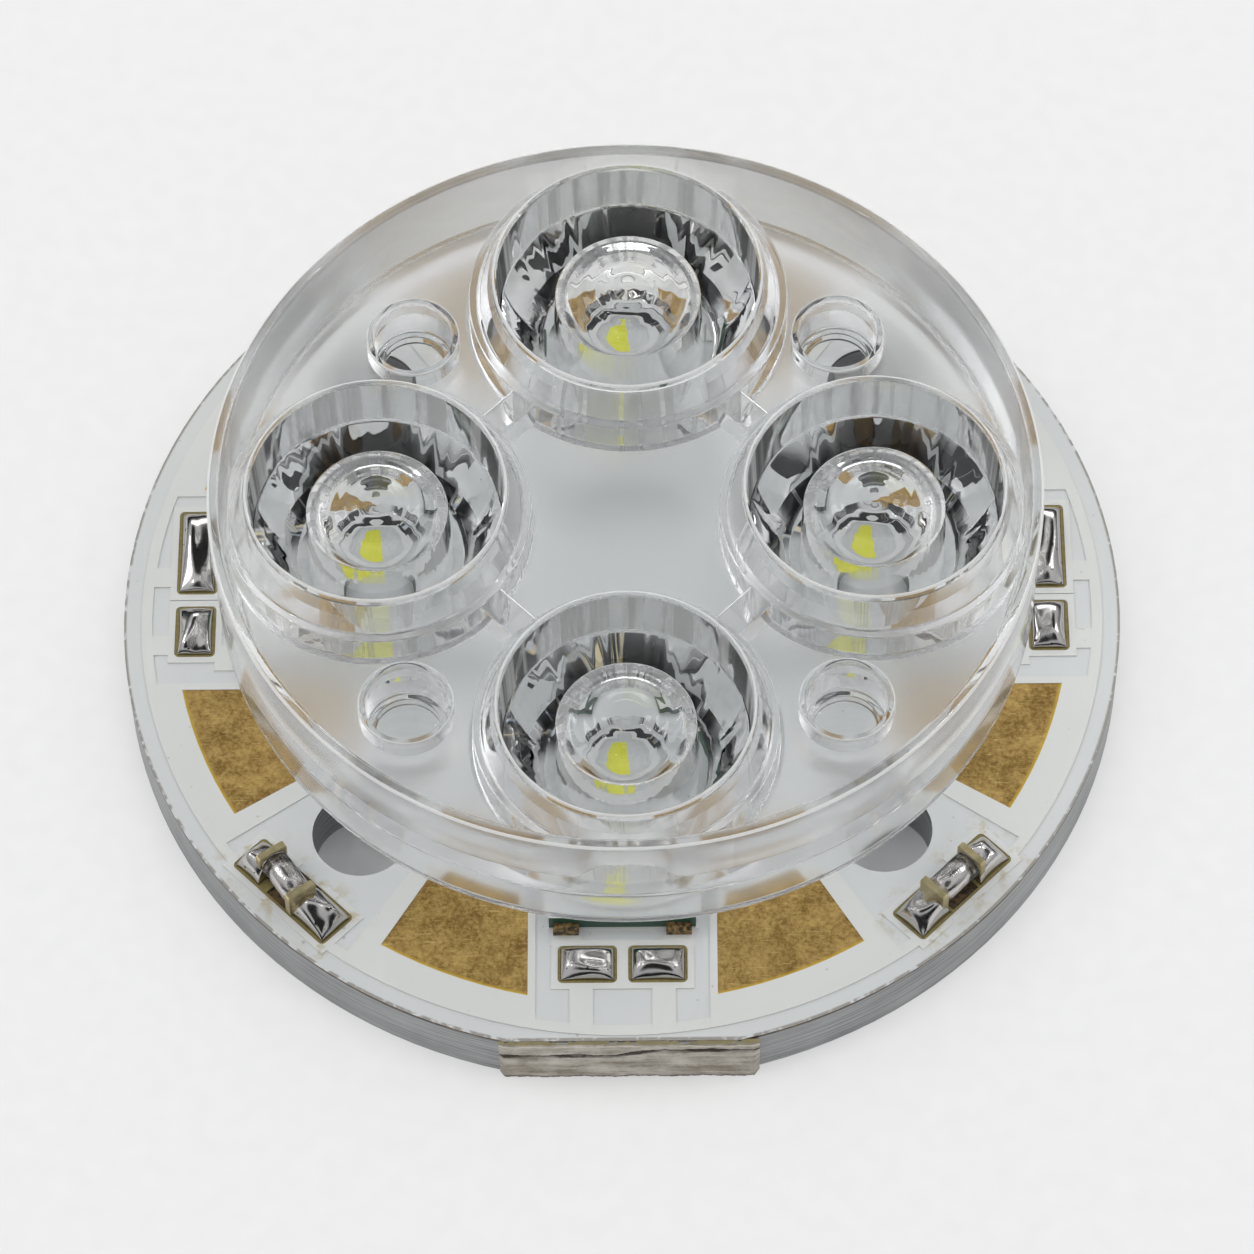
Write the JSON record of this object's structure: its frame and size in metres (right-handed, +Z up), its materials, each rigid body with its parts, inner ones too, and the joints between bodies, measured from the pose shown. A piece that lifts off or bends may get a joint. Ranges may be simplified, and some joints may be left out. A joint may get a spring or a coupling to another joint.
{
  "type": "led light engine",
  "caption": "Round aluminium board with emitters on its spokes under a clear round tray of moulded lenses; one edge of the board is snapped straight.",
  "frame": {"origin": "centre of the round board on its underside", "axes": "+Z up through the lenses, -Y towards the snapped straight edge, +X to the right of it"},
  "size_m": [0.05, 0.0494, 0.0148],
  "materials": {
    "bare_aluminium": "machined",
    "dielectric": "matte",
    "gold_finish": "satin",
    "white_mask": "gloss",
    "green_substrate": "matte",
    "contact_solder": "dull",
    "emitter_frame": "matte",
    "phosphor": "matte",
    "clear_silicone": "gloss",
    "bright_solder": "bright",
    "diode_glass": "gloss",
    "diode_caps": "dull",
    "clear_optic": "gloss"
  },
  "bodies": {
    "root": {"core_plate": "bare_aluminium", "dielectric_layer": "dielectric", "copper_tracks": "gold_finish", "solder_mask": "white_mask", "led_substrate_front": "green_substrate", "led_substrate_rear": "green_substrate", "led_substrate_left": "green_substrate", "led_substrate_right": "green_substrate", "led_contacts_front": "contact_solder", "led_contacts_rear": "contact_solder", "led_contacts_left": "contact_solder", "led_contacts_right": "contact_solder", "led_ring_front": "emitter_frame", "led_ring_rear": "emitter_frame", "led_ring_left": "emitter_frame", "led_ring_right": "emitter_frame", "led_phosphor_front": "phosphor", "led_phosphor_rear": "phosphor", "led_phosphor_left": "phosphor", "led_phosphor_right": "phosphor", "led_dome_front": "clear_silicone", "led_dome_rear": "clear_silicone", "led_dome_left": "clear_silicone", "led_dome_right": "clear_silicone", "solder_joints_front": "bright_solder", "solder_joints_rear": "bright_solder", "solder_joints_left": "bright_solder", "solder_joints_right": "bright_solder", "diode_glass_front_left": "diode_glass", "diode_glass_front_right": "diode_glass", "diode_glass_rear_left": "diode_glass", "diode_glass_rear_right": "diode_glass", "diode_caps_front_left": "diode_caps", "diode_caps_front_right": "diode_caps", "diode_caps_rear_left": "diode_caps", "diode_caps_rear_right": "diode_caps", "diode_solder_front_left": "bright_solder", "diode_solder_front_right": "bright_solder", "diode_solder_rear_left": "bright_solder", "diode_solder_rear_right": "bright_solder", "lens_tray": "clear_optic"}
  },
  "joints": []
}
